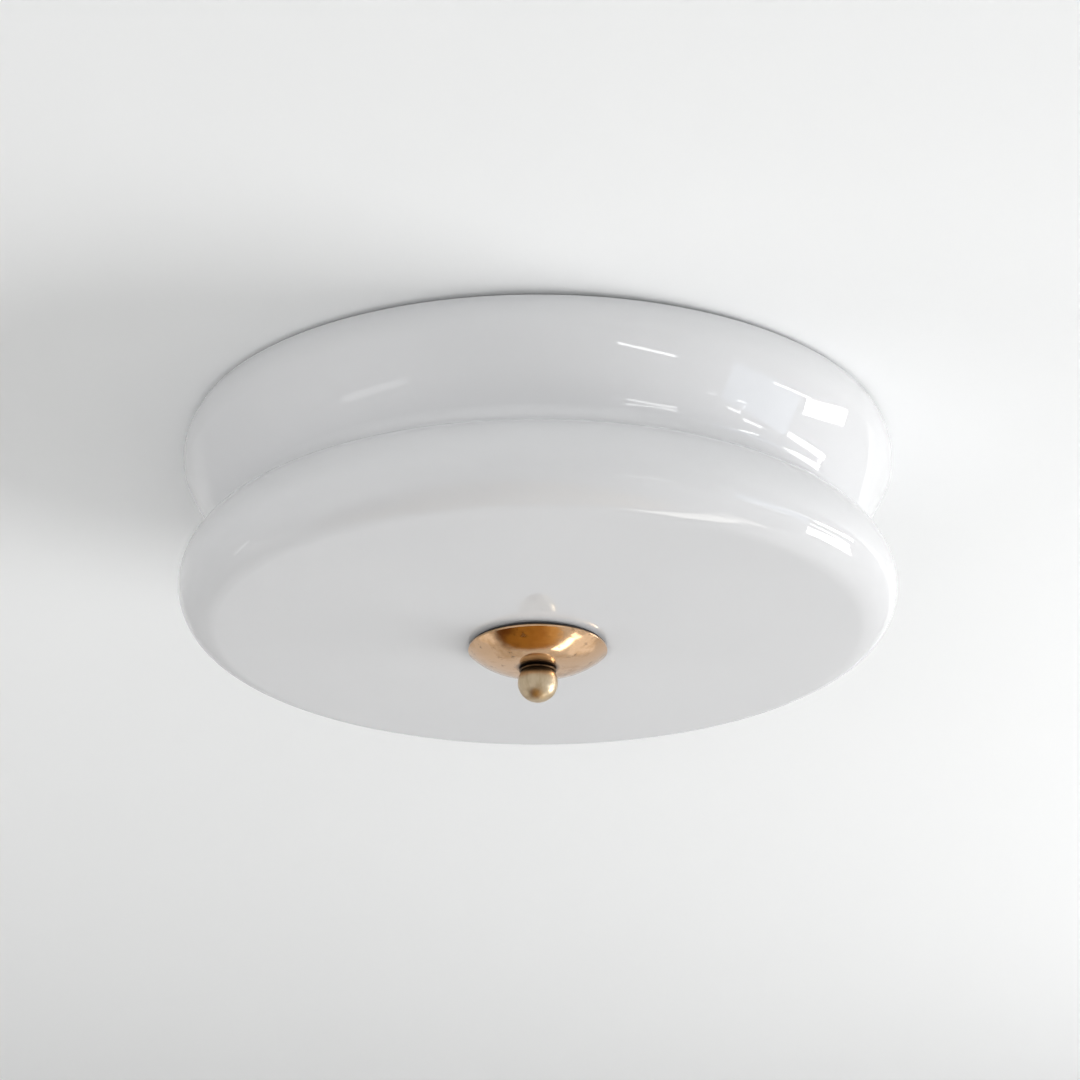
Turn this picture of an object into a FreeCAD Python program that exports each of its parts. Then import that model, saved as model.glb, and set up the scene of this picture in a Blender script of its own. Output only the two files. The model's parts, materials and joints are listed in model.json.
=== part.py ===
import FreeCAD
import Part
import math
import os

# Flush ceiling light: a two-tier opal glass shade held up by a brass dish and a ball knob.
# Millimetres, +Z up. The origin is on the ceiling plane, on the centre line of the light.
# Depths are measured downwards from the ceiling.

# Glass shade, outside face
SHADE_RADIUS = 175.0
UPPER_TIER_RADIUS = 174.9
UPPER_TIER_DEPTH = 12.5
UPPER_BULGE = 19.0
UPPER_TURN = 27.0
WAIST_SWEEP = 200.0
WAIST_FILLET = 6.0
LOWER_TIER_DEPTH = 80.0
LOWER_SHOULDER = 24.0
LOWER_BULGE = 21.0
SHADE_DEPTH = 105.5
GLASS_WALL = 3.6
RIM_GAP = 1.4
RIM_EASE = 0.8
GLASS_HOLE_RADIUS = 7.0

# Ceiling pan
PAN_RADIUS = 150.0
PAN_DEPTH = 22.0
PAN_SHEET = 1.0
PAN_CORNER = 6.0
PAN_FLANGE = 7.0
PAN_BEAD_RADIUS = 118.0
PAN_BEAD_WIDTH = 5.0

# Crossbar on the ceiling box
BAR_LENGTH = 136.0
BAR_WIDTH = 24.0
BAR_SHEET = 2.0
BAR_CORNER = 4.0
BOX_SCREW_SPACING = 88.9
BOX_SLOT_RADIUS = 2.4
BOX_SLOT_LENGTH = 16.0
PAN_SCREW_SPACING = 118.0
PAN_SCREW_RADIUS = 2.0
PAN_NUT_RADIUS = 5.5
PAN_NUT_HEIGHT = 8.0
EARTH_SCREW_X = 22.0

# Centre rod, its nuts and washers
ROD_RADIUS = 5.0
ROD_BORE = 3.2
ROD_TOP_DEPTH = 11.0
ROD_IN_KNOB = 8.6
NUT_FLATS = 14.0
NUT_HEIGHT = 4.0
LOCK_WASHER_RADIUS = 9.0
WASHER_SHEET = 1.0
STOP_WASHER_RADIUS = 18.0
STOP_WASHER_SHEET = 1.5
GASKET_SHEET = 1.6

# Brass dish and ball knob
DISH_RADIUS = 33.8
DISH_HEIGHT = 11.0
DISH_SHEET = 1.5
DISH_LIP = 1.6
RIM_GASKET_WIDTH = 2.4
RIM_GASKET_SHEET = 1.1
COLLAR_RADIUS = 9.0
COLLAR_HEIGHT = 1.2
BALL_RADIUS = 9.7
BALL_FLAT_RADIUS = 8.1

# Lampholders and their bracket
LAMP_DEPTH = 60.0
BRACKET_SHEET = 1.5
BRACKET_WIDTH = 34.0
BRACKET_HALF_SPAN = 14.0
BRACKET_BEND = 3.0
HOLDER_LENGTH = 31.0
HOLDER_RADIUS = 19.5
HOLDER_NECK_RADIUS = 15.0
HOLDER_NECK_LENGTH = 11.0
HOLDER_WALL = 4.0
SHELL_SHEET = 0.5
SHELL_LENGTH = 20.0
HOLDER_SCREW_OFFSET = 10.0
SMALL_SCREW_RADIUS = 1.5
SMALL_HEAD_RADIUS = 2.8
SMALL_HEAD_HEIGHT = 1.9
SMALL_SCREW_LENGTH = 6.0

# Bulbs
BULB_LENGTH = 106.0
BULB_RADIUS = 30.0
BULB_NECK_RADIUS = 14.4
BULB_GLASS = 1.0
CAP_RADIUS = 13.0
CAP_SHEET = 0.8
CAP_LENGTH = 20.0
INSULATOR_LENGTH = 5.0
TIP_RADIUS = 4.6
TIP_HEIGHT = 1.4

# Leads, bushings and lead connectors
LEAD_RADIUS = 1.0
LEAD_SPACING = 4.0
LEAD_BEND = 7.0
LEAD_EXIT_X = 18.5
BUSHING_X = 26.0
LEAD_HOLE_DEPTH = 6.0
LEAD_RISE = 8.0
LEAD_TAIL = 15.0
BUSHING_RADIUS = 7.5
BUSHING_WALL = 1.4
CONNECTOR_RADIUS = 6.5
CONNECTOR_TIP_RADIUS = 4.0
CONNECTOR_LENGTH = 24.0
CONNECTOR_BORE = 3.6
CONNECTOR_SOCKET = 10.0
CONNECTOR_FLATS = 8
CONNECTOR_Y = 34.0

# Clearances
SEAT = 0.2
SLIP = 0.3
THREAD_FIT = 0.08

ORIGIN = FreeCAD.Vector(0, 0, 0)
UP = FreeCAD.Vector(0, 0, 1)


def point(r, z):
    return FreeCAD.Vector(r, 0, z)


def on_circle(centre, radius, angle):
    turn = math.radians(angle)
    return point(centre[0] + radius * math.cos(turn), centre[1] + radius * math.sin(turn))


def direction(start, end):
    return math.degrees(math.atan2(end[1] - start[1], end[0] - start[0]))


def arc(centre, radius, start, end):
    middle = (start + end) / 2
    return Part.Arc(*[on_circle(centre, radius, angle) for angle in (start, middle, end)]).toShape()


def lines(*corners):
    ends = [point(*corner) for corner in corners]
    return [Part.LineSegment(a, b).toShape() for a, b in zip(ends, ends[1:])]


def turned(edges):
    """Turns a closed half outline, drawn as radius and height, about the centre line."""
    face = Part.Face(Part.Wire(Part.__sortEdges__(edges)))
    return face.revolve(ORIGIN, UP, 360)


def ring(outer, inner, low, high):
    return turned(lines((inner, low), (outer, low), (outer, high), (inner, high), (inner, low)))


def post(radius, x, y, low, high):
    return Part.makeCylinder(radius, high - low, FreeCAD.Vector(x, y, low), UP)


def block(x_size, y_size, low, high):
    return Part.makeBox(x_size, y_size, high - low, FreeCAD.Vector(-x_size / 2, -y_size / 2, low))


def along_x(shape):
    """Lays a piece that was turned about Z along +X, at the depth of the lamps."""
    laid = shape.copy()
    laid.rotate(ORIGIN, FreeCAD.Vector(0, 1, 0), 90)
    laid.translate(FreeCAD.Vector(0, 0, -LAMP_DEPTH))
    return laid


def to_far_side(shape):
    moved = shape.copy()
    moved.rotate(ORIGIN, UP, 180)
    return moved


def hexagon_nut(flats, hole, low, high):
    corner = flats / math.sqrt(3)
    corners = [FreeCAD.Vector(corner * math.cos(k * math.pi / 3), corner * math.sin(k * math.pi / 3), low)
               for k in range(7)]
    prism = Part.Face(Part.makePolygon(corners)).extrude(FreeCAD.Vector(0, 0, high - low))
    middle = (low + high) / 2
    rounding = turned(lines((0, low - 1), (flats / 2, low - 1), (flats / 2, low), (corner, middle - 1),
                            (corner, middle + 1), (flats / 2, high), (0, high), (0, low - 1)))
    return prism.common(rounding).cut(post(hole, 0, 0, low - 1, high + 1))


def circles_meet(centre_a, radius_a, centre_b, radius_b):
    """Where two circles cross, on the side further from the centre line."""
    dx = centre_b[0] - centre_a[0]
    dz = centre_b[1] - centre_a[1]
    gap = math.hypot(dx, dz)
    along = (radius_a ** 2 - radius_b ** 2 + gap ** 2) / (2 * gap)
    aside = math.sqrt(radius_a ** 2 - along ** 2)
    crossings = [(centre_a[0] + (along * dx - side * dz) / gap, centre_a[1] + (along * dz + side * dx) / gap)
                 for side in (aside, -aside)]
    return max(crossings)


def shade_dome():
    """The centre and radius of the shade's shallow floor, which meets the lower bulge at a tangent."""
    across = SHADE_RADIUS - LOWER_BULGE
    drop = SHADE_DEPTH - LOWER_TIER_DEPTH
    radius = (across ** 2 + drop ** 2 - LOWER_BULGE ** 2) / (2 * (drop - LOWER_BULGE))
    return (0, radius - SHADE_DEPTH), radius


def floor_height(across, inset):
    """The height of the shade's floor at a distance from the centre line."""
    centre, radius = shade_dome()
    return centre[1] - math.sqrt((radius - inset) ** 2 - across ** 2)


def shade_face(inset):
    """The edges of the shade's face, from rim to centre, moved into the glass by inset."""
    rim = -RIM_GAP
    upper = (UPPER_TIER_RADIUS - UPPER_BULGE, -UPPER_TIER_DEPTH)
    turn = math.radians(UPPER_TURN)
    waist_reach = WAIST_SWEEP - UPPER_BULGE
    waist = (upper[0] - waist_reach * math.cos(turn), upper[1] + waist_reach * math.sin(turn))
    shoulder = (SHADE_RADIUS - LOWER_SHOULDER, -LOWER_TIER_DEPTH)
    bulge = (SHADE_RADIUS - LOWER_BULGE, -LOWER_TIER_DEPTH)
    fillet = circles_meet(waist, WAIST_SWEEP + WAIST_FILLET, shoulder, LOWER_SHOULDER + WAIST_FILLET)
    dome, dome_radius = shade_dome()

    upper_radius = UPPER_BULGE - inset
    rim_angle = math.degrees(math.asin((rim - upper[1]) / upper_radius))
    to_waist = direction(fillet, waist)
    to_shoulder = direction(fillet, shoulder)
    edge_angle = direction(dome, bulge)
    return [arc(upper, upper_radius, rim_angle, -UPPER_TURN),
            arc(waist, WAIST_SWEEP - inset, -UPPER_TURN, direction(waist, fillet)),
            arc(fillet, WAIST_FILLET + inset, to_waist % 360, to_shoulder % 360),
            arc(shoulder, LOWER_SHOULDER - inset, direction(shoulder, fillet), 0),
            arc(bulge, LOWER_BULGE - inset, 0, edge_angle),
            arc(dome, dome_radius - inset, edge_angle, -90)]


def glass_shade():
    outside = shade_face(0)
    inside = shade_face(GLASS_WALL)
    rim = Part.LineSegment(outside[0].Vertexes[0].Point, inside[0].Vertexes[0].Point).toShape()
    middle = Part.LineSegment(outside[-1].Vertexes[-1].Point, inside[-1].Vertexes[-1].Point).toShape()
    shade = turned(outside + inside + [rim, middle])
    shade = shade.cut(post(GLASS_HOLE_RADIUS, 0, 0, -SHADE_DEPTH - 1, -SHADE_DEPTH + GLASS_WALL + 1))
    rim_edges = [edge for edge in shade.Edges
                 if abs(edge.BoundBox.ZMax + RIM_GAP) < 1e-4 and edge.BoundBox.ZLength < 1e-4]
    return shade.makeFillet(RIM_EASE, rim_edges)


def pan_screw_places():
    return [(-PAN_SCREW_SPACING / 2, 0), (PAN_SCREW_SPACING / 2, 0)]


def ceiling_pan():
    """A pressed steel pan, open towards the ceiling, with an inward flange and a stiffening bead."""
    floor = -PAN_DEPTH
    inner = PAN_RADIUS - PAN_SHEET
    corner = (PAN_RADIUS - PAN_CORNER, floor + PAN_CORNER)
    bead = (PAN_BEAD_RADIUS, floor)
    bead_inside = PAN_BEAD_WIDTH - PAN_SHEET
    bead_reach = math.sqrt(bead_inside ** 2 - PAN_SHEET ** 2)
    flange = PAN_RADIUS - PAN_FLANGE
    edges = lines((0, floor), (bead[0] - PAN_BEAD_WIDTH, floor))
    edges = edges + [arc(bead, PAN_BEAD_WIDTH, 180, 360)]
    edges = edges + lines((bead[0] + PAN_BEAD_WIDTH, floor), (corner[0], floor))
    edges = edges + [arc(corner, PAN_CORNER, -90, 0)]
    edges = edges + lines((PAN_RADIUS, corner[1]), (PAN_RADIUS, 0), (flange, 0), (flange, -PAN_SHEET),
                          (inner, -PAN_SHEET), (inner, corner[1]))
    edges = edges + [arc(corner, PAN_CORNER - PAN_SHEET, 0, -90)]
    edges = edges + lines((corner[0], floor + PAN_SHEET), (bead[0] + bead_reach, floor + PAN_SHEET))
    edges = edges + [bead_inner_arc(bead, bead_inside)]
    edges = edges + lines((bead[0] - bead_reach, floor + PAN_SHEET), (0, floor + PAN_SHEET), (0, floor))
    pan = turned(edges)
    for x, y in pan_screw_places():
        pan = pan.cut(post(PAN_SCREW_RADIUS + SLIP, x, y, floor - 1, floor + 2))
    for side in (-1, 1):
        pan = pan.cut(post(BUSHING_RADIUS, side * BUSHING_X, 0, floor - 1, floor + 2))
    return pan.cut(post(ROD_RADIUS + SLIP, 0, 0, floor - 1, floor + 2))


def bead_inner_arc(bead, radius):
    """The bead's inside face starts and ends on the pan's upper face."""
    lift = math.degrees(math.asin(PAN_SHEET / radius))
    return arc(bead, radius, lift, -180 - lift)


def slot(x, radius, length, low, high):
    straight = length / 2 - radius
    ends = [post(radius, x - straight, 0, low, high), post(radius, x + straight, 0, low, high)]
    body = block(2 * straight, 2 * radius, low, high)
    body.translate(FreeCAD.Vector(x, 0, 0))
    return ends[0].fuse([body, ends[1]])


def crossbar():
    bar = block(BAR_LENGTH, BAR_WIDTH, -BAR_SHEET, 0)
    corners = [edge for edge in bar.Edges if edge.BoundBox.ZLength > BAR_SHEET / 2]
    bar = bar.makeFillet(BAR_CORNER, corners)
    for side in (-1, 1):
        bar = bar.cut(slot(side * BOX_SCREW_SPACING / 2, BOX_SLOT_RADIUS, BOX_SLOT_LENGTH, -BAR_SHEET - 1, 1))
    for x, y in pan_screw_places():
        bar = bar.cut(post(PAN_SCREW_RADIUS, x, y, -BAR_SHEET - 1, 1))
    return bar.cut(post(SMALL_SCREW_RADIUS, -EARTH_SCREW_X, 0, -BAR_SHEET - 1, 1))


def pan_screws():
    end = -PAN_DEPTH - PAN_NUT_HEIGHT / 2
    return Part.makeCompound([post(PAN_SCREW_RADIUS, x, y, end, 0) for x, y in pan_screw_places()])


def pan_nuts():
    """Domed cap nuts with a skirt, turned on to the screws below the pan."""
    top = -PAN_DEPTH
    skirt = top - 2.0
    dome = (0, top - PAN_NUT_HEIGHT + PAN_NUT_RADIUS - 1.0)
    edges = lines((0, top), (PAN_NUT_RADIUS, top), (PAN_NUT_RADIUS, skirt), (PAN_NUT_RADIUS - 1.0, dome[1]))
    edges = edges + [arc(dome, PAN_NUT_RADIUS - 1.0, 0, -90)]
    edges = edges + lines((0, dome[1] - PAN_NUT_RADIUS + 1.0), (0, top))
    nut = turned(edges)
    nut = nut.cut(post(PAN_SCREW_RADIUS, 0, 0, top - PAN_NUT_HEIGHT / 2, top + 1))
    nuts = []
    for x, y in pan_screw_places():
        placed = nut.copy()
        placed.translate(FreeCAD.Vector(x, y, 0))
        nuts.append(placed)
    return Part.makeCompound(nuts)


def earth_screw():
    screw = post(SMALL_SCREW_RADIUS, -EARTH_SCREW_X, 0, -BAR_SHEET, 0)
    head = post(SMALL_HEAD_RADIUS + 1, -EARTH_SCREW_X, 0, -BAR_SHEET - 2.4, -BAR_SHEET)
    head = head.makeFillet(0.8, [head.Edges[2]] if head.Edges[2].BoundBox.ZMax < -BAR_SHEET - 1 else [head.Edges[0]])
    return screw.fuse(head).removeSplitter()


def rod_end():
    return dish_bottom() - SEAT - COLLAR_HEIGHT - SEAT - ROD_IN_KNOB


def centre_rod():
    """A threaded steel tube that carries the bracket, the shade and the dish."""
    top = -ROD_TOP_DEPTH
    low = rod_end()
    bevel = 0.6
    return turned(lines((ROD_BORE, low), (ROD_RADIUS - bevel, low), (ROD_RADIUS, low + bevel),
                        (ROD_RADIUS, top - bevel), (ROD_RADIUS - bevel, top), (ROD_BORE, top), (ROD_BORE, low)))


def rod_lock_nuts():
    """One nut above the pan and one below the bracket clamp both on the rod."""
    upper = -PAN_DEPTH + PAN_SHEET + WASHER_SHEET
    lower = -PAN_DEPTH - BRACKET_SHEET
    return Part.makeCompound([hexagon_nut(NUT_FLATS, ROD_RADIUS, upper, upper + NUT_HEIGHT),
                              hexagon_nut(NUT_FLATS, ROD_RADIUS, lower - NUT_HEIGHT, lower)])


def rod_lock_washer():
    low = -PAN_DEPTH + PAN_SHEET
    return ring(LOCK_WASHER_RADIUS, ROD_RADIUS, low, low + WASHER_SHEET)


def gasket_seat():
    """The inner gasket touches the glass at its outer edge, where the floor is highest under it."""
    return floor_height(STOP_WASHER_RADIUS, GLASS_WALL) + SEAT


def inner_gasket():
    low = gasket_seat()
    return ring(STOP_WASHER_RADIUS, ROD_RADIUS, low, low + GASKET_SHEET)


def stop_washer():
    low = gasket_seat() + GASKET_SHEET
    return ring(STOP_WASHER_RADIUS, ROD_RADIUS, low, low + STOP_WASHER_SHEET)


def stop_nut():
    low = gasket_seat() + GASKET_SHEET + STOP_WASHER_SHEET
    return hexagon_nut(NUT_FLATS, ROD_RADIUS, low, low + NUT_HEIGHT)


def rim_gasket_top():
    """The rim gasket touches the glass at its inner edge, where the floor is lowest over it."""
    return floor_height(DISH_RADIUS - DISH_SHEET - THREAD_FIT - RIM_GASKET_WIDTH, 0) - SEAT


def dish_rim():
    return rim_gasket_top() - RIM_GASKET_SHEET


def dish_bottom():
    return dish_rim() - DISH_HEIGHT


def dish_bowl():
    """The centre and radius of the bowl's outside, which runs from its flat to its lip."""
    reach = DISH_RADIUS - COLLAR_RADIUS
    height = DISH_HEIGHT - DISH_LIP
    bowl = (reach ** 2 + height ** 2) / (2 * height)
    return (COLLAR_RADIUS, dish_bottom() + bowl), bowl


def dish_inside_lip():
    """The height at which the bowl's inside meets the inside of its lip."""
    centre, bowl = dish_bowl()
    across = DISH_RADIUS - DISH_SHEET - centre[0]
    return centre[1] - math.sqrt((bowl - DISH_SHEET) ** 2 - across ** 2)


def brass_dish():
    """A spun dish: a shallow bowl with a short upright lip and a flat around its hole."""
    centre, bowl = dish_bowl()
    flat = centre[0]
    rim = dish_rim()
    low = dish_bottom()
    lip = low + DISH_HEIGHT - DISH_LIP
    inside_radius = DISH_RADIUS - DISH_SHEET
    inside_lip = dish_inside_lip()
    bead = DISH_SHEET / 2
    hole = ROD_RADIUS + SLIP
    edges = lines((hole, low), (flat, low)) + [arc(centre, bowl, -90, direction(centre, (DISH_RADIUS, lip)))]
    edges = edges + lines((DISH_RADIUS, lip), (DISH_RADIUS, rim - bead))
    edges = edges + [arc((DISH_RADIUS - bead, rim - bead), bead, 0, 180)]
    edges = edges + lines((inside_radius, rim - bead), (inside_radius, inside_lip))
    edges = edges + [arc(centre, bowl - DISH_SHEET, direction(centre, (inside_radius, inside_lip)), -90)]
    edges = edges + lines((flat, low + DISH_SHEET), (hole, low + DISH_SHEET), (hole, low))
    return turned(edges)


def rim_gasket():
    """A soft ring inside the dish's lip, between the brass and the glass."""
    outer = DISH_RADIUS - DISH_SHEET - THREAD_FIT
    return ring(outer, outer - RIM_GASKET_WIDTH, dish_inside_lip(), rim_gasket_top())


def knob_collar():
    top = dish_bottom() - SEAT
    low = top - COLLAR_HEIGHT
    hole = ROD_RADIUS + SLIP
    middle = (top + low) / 2
    edges = lines((hole, low), (COLLAR_RADIUS - COLLAR_HEIGHT / 2, low))
    edges = edges + [arc((COLLAR_RADIUS - COLLAR_HEIGHT / 2, middle), COLLAR_HEIGHT / 2, -90, 90)]
    edges = edges + lines((COLLAR_RADIUS - COLLAR_HEIGHT / 2, top), (hole, top), (hole, low))
    return turned(edges)


def ball_knob():
    """A ball with a flat at its top and a blind thread for the rod."""
    top = dish_bottom() - SEAT - COLLAR_HEIGHT - SEAT
    below = math.sqrt(BALL_RADIUS ** 2 - BALL_FLAT_RADIUS ** 2)
    centre = (0, top - below)
    start = math.degrees(math.atan2(below, BALL_FLAT_RADIUS))
    bore = ROD_RADIUS + THREAD_FIT
    bore_end = rod_end() - 1.0
    edges = lines((bore, top), (BALL_FLAT_RADIUS, top)) + [arc(centre, BALL_RADIUS, start, -90)]
    edges = edges + lines((0, centre[1] - BALL_RADIUS), (0, bore_end), (bore, bore_end), (bore, top))
    return turned(edges)


def lampholder_bracket():
    """A folded steel strap: a web under the pan and a leg down to each lampholder."""
    top = -PAN_DEPTH
    foot = -LAMP_DEPTH - HOLDER_NECK_RADIUS
    outside = BRACKET_HALF_SPAN
    bend = BRACKET_BEND
    inner_bend = bend - BRACKET_SHEET
    inside = outside - BRACKET_SHEET
    under = top - BRACKET_SHEET
    edges = lines((-outside, foot), (-outside, top - bend))
    edges = edges + [arc((-outside + bend, top - bend), bend, 180, 90)]
    edges = edges + lines((-outside + bend, top), (outside - bend, top))
    edges = edges + [arc((outside - bend, top - bend), bend, 90, 0)]
    edges = edges + lines((outside, top - bend), (outside, foot), (inside, foot), (inside, top - bend))
    edges = edges + [arc((outside - bend, top - bend), inner_bend, 0, 90)]
    edges = edges + lines((outside - bend, under), (-outside + bend, under))
    edges = edges + [arc((-outside + bend, top - bend), inner_bend, 90, 180)]
    edges = edges + lines((-inside, top - bend), (-inside, foot), (-outside, foot))
    strap = Part.Face(Part.Wire(Part.__sortEdges__(edges))).extrude(FreeCAD.Vector(0, BRACKET_WIDTH, 0))
    strap.translate(FreeCAD.Vector(0, -BRACKET_WIDTH / 2, 0))
    legs = [edge for edge in strap.Edges
            if abs(edge.BoundBox.ZMin - foot) < 1e-4 and edge.BoundBox.XLength > 1 and edge.BoundBox.YLength < 1e-4]
    strap = strap.makeFillet(8.0, legs)
    strap = strap.cut(post(ROD_RADIUS + SLIP, 0, 0, under - 1, top + 1))
    span = 2 * BRACKET_HALF_SPAN + 2
    for side in (-1, 1):
        hole = Part.makeCylinder(SMALL_SCREW_RADIUS, span,
                                 FreeCAD.Vector(-span / 2, side * HOLDER_SCREW_OFFSET, -LAMP_DEPTH),
                                 FreeCAD.Vector(1, 0, 0))
        strap = strap.cut(hole)
    return strap


def holder_mouth():
    return BRACKET_HALF_SPAN + HOLDER_LENGTH


def shell_outer():
    return CAP_RADIUS + SLIP + SHELL_SHEET


def holder_floor():
    return BRACKET_HALF_SPAN + HOLDER_LENGTH - SHELL_LENGTH - 4.0


def lampholder_body():
    """Glazed porcelain: a narrow neck on the bracket, a wider cup round the screw shell."""
    back = BRACKET_HALF_SPAN
    neck = back + HOLDER_NECK_LENGTH
    mouth = holder_mouth()
    ease = 2.0
    pocket = shell_outer() + SLIP
    edges = lines((0, back), (HOLDER_NECK_RADIUS, back), (HOLDER_NECK_RADIUS, neck),
                  (HOLDER_RADIUS, neck + HOLDER_WALL), (HOLDER_RADIUS, mouth - ease))
    edges = edges + [arc((HOLDER_RADIUS - ease, mouth - ease), ease, 0, 90)]
    edges = edges + lines((HOLDER_RADIUS - ease, mouth), (pocket, mouth), (pocket, holder_floor()),
                          (0, holder_floor()), (0, back))
    body = along_x(turned(edges))
    for side in (-1, 1):
        screw = Part.makeCylinder(SMALL_SCREW_RADIUS, SMALL_SCREW_LENGTH - BRACKET_SHEET,
                                  FreeCAD.Vector(back, side * HOLDER_SCREW_OFFSET, -LAMP_DEPTH),
                                  FreeCAD.Vector(1, 0, 0))
        body = body.cut(screw)
        body = body.cut(post(LEAD_RADIUS, LEAD_EXIT_X, side * LEAD_SPACING, lead_start(), 0))
    return body


def lead_start():
    return -LAMP_DEPTH + HOLDER_NECK_RADIUS - LEAD_HOLE_DEPTH


def lampholder_shell():
    """The screw shell: a thin cup, open in the middle for the centre contact."""
    outer = shell_outer()
    inner = outer - SHELL_SHEET
    low = holder_floor()
    high = low + SHELL_LENGTH
    floor_hole = TIP_RADIUS + 3.0
    return along_x(turned(lines((floor_hole, low), (outer, low), (outer, high), (inner, high),
                                (inner, low + SHELL_SHEET), (floor_hole, low + SHELL_SHEET),
                                (floor_hole, low))))


def bulb_tip():
    return holder_floor() + 2.0


def lampholder_contact():
    """A sprung brass tongue that the bulb's tip presses on."""
    low = holder_floor()
    high = bulb_tip() - SEAT
    width = 6.0
    half = TIP_RADIUS + 1.0
    sheet = 0.6
    edges = lines((-half, low), (half, low), (half, low + sheet), (-half + 2.0, low + sheet),
                  (-half + 2.6, high - sheet), (half - 2.0, high - sheet), (half - 2.0, high),
                  (-half + 2.0, high), (-half + 1.2, low + sheet), (-half, low + sheet), (-half, low))
    tongue = Part.Face(Part.Wire(edges)).extrude(FreeCAD.Vector(0, width, 0))
    tongue.translate(FreeCAD.Vector(0, -width / 2, 0))
    return along_x(tongue)


def lampholder_screws():
    """Two pan-head screws through the bracket's leg into the porcelain."""
    inside = BRACKET_HALF_SPAN - BRACKET_SHEET
    screws = []
    for side in (-1, 1):
        place = FreeCAD.Vector(inside, side * HOLDER_SCREW_OFFSET, -LAMP_DEPTH)
        shank = Part.makeCylinder(SMALL_SCREW_RADIUS, SMALL_SCREW_LENGTH, place, FreeCAD.Vector(1, 0, 0))
        head = Part.makeCylinder(SMALL_HEAD_RADIUS, SMALL_HEAD_HEIGHT, place, FreeCAD.Vector(-1, 0, 0))
        head_edge = [edge for edge in head.Edges
                     if edge.BoundBox.XLength < 1e-4 and edge.BoundBox.XMax < inside - SMALL_HEAD_HEIGHT / 2]
        screws.append(shank.fuse(head.makeFillet(SMALL_HEAD_HEIGHT / 2, head_edge)).removeSplitter())
    return Part.makeCompound(screws)


def bulb_insulator():
    """The bulb's dark glass insulator with its tip contact."""
    tip = bulb_tip()
    shoulder = tip + TIP_HEIGHT
    cone_end = shoulder + INSULATOR_LENGTH
    inside = CAP_RADIUS - CAP_SHEET
    dome = (TIP_RADIUS ** 2 + TIP_HEIGHT ** 2) / (2 * TIP_HEIGHT)
    edge = -math.degrees(math.acos(TIP_RADIUS / dome))
    edges = [arc((0, tip + dome), dome, -90, edge)]
    edges = edges + lines((TIP_RADIUS, shoulder), (TIP_RADIUS + 2.0, shoulder), (CAP_RADIUS - 2.0, cone_end),
                          (inside - 2.0, cone_end), (0, cone_end), (0, tip))
    return along_x(turned(edges))


def cap_start():
    return bulb_tip() + TIP_HEIGHT + INSULATOR_LENGTH


def bulb_cap():
    """The bulb's screw cap: a thin cup with its rim turned in to the insulator."""
    low = cap_start() + SEAT
    high = low + CAP_LENGTH
    inside = CAP_RADIUS - CAP_SHEET
    bend = 2.0
    edges = lines((inside - 3.0, low), (CAP_RADIUS - bend, low))
    edges = edges + [arc((CAP_RADIUS - bend, low + bend), bend, -90, 0)]
    edges = edges + lines((CAP_RADIUS, low + bend), (CAP_RADIUS, high), (inside, high), (inside, low + bend))
    edges = edges + [arc((CAP_RADIUS - bend, low + bend), bend - CAP_SHEET, 0, -90)]
    edges = edges + lines((CAP_RADIUS - bend, low + CAP_SHEET), (inside - 3.0, low + CAP_SHEET),
                          (inside - 3.0, low))
    return along_x(turned(edges))


def bulb_outline(inset, start):
    """A ball on a waisted neck: the neck's arc meets the ball's at a tangent."""
    centre = (0, bulb_tip() + BULB_LENGTH - BULB_RADIUS)
    neck_radius = BULB_NECK_RADIUS - inset
    rise = centre[1] - start
    reach = (rise ** 2 + neck_radius ** 2 - (BULB_RADIUS - inset) ** 2) / (2 * (BULB_RADIUS - inset - neck_radius))
    neck = (neck_radius + reach, start)
    turn = direction(centre, neck)
    return [arc(neck, reach, 180, turn + 180), arc(centre, BULB_RADIUS - inset, turn, 90)]


def bulb_globe():
    low = cap_start() + SEAT + CAP_LENGTH
    collar = BULB_NECK_RADIUS
    plug = CAP_RADIUS - CAP_SHEET - THREAD_FIT
    depth = low - CAP_LENGTH / 3
    outside = bulb_outline(0, low)
    inside = bulb_outline(BULB_GLASS, low)
    top = bulb_tip() + BULB_LENGTH
    edges = lines((collar, low), (plug, low), (plug, depth), (plug - BULB_GLASS, depth),
                  (plug - BULB_GLASS, low), (collar - BULB_GLASS, low))
    return along_x(turned(edges + outside + inside + lines((0, top), (0, top - BULB_GLASS))))


def connector_height():
    return -PAN_DEPTH + PAN_SHEET + CONNECTOR_RADIUS * math.cos(math.pi / CONNECTOR_FLATS)


def lead_route(turn):
    """Up from the lampholder through the bushing, then level into the connector's mouth."""
    level = connector_height()
    beside = LEAD_RADIUS + SEAT
    end = CONNECTOR_Y + CONNECTOR_SOCKET
    corners = [(LEAD_EXIT_X, LEAD_SPACING, lead_start()),
               (LEAD_EXIT_X, LEAD_SPACING, lead_start() + LEAD_HOLE_DEPTH + 4.0),
               (BUSHING_X, LEAD_SPACING, -PAN_DEPTH - LEAD_RISE),
               (BUSHING_X, LEAD_SPACING, level),
               (beside, end - LEAD_TAIL, level),
               (beside, end, level)]
    return [FreeCAD.Vector(turn * x, y, z) for x, y, z in corners]


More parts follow.
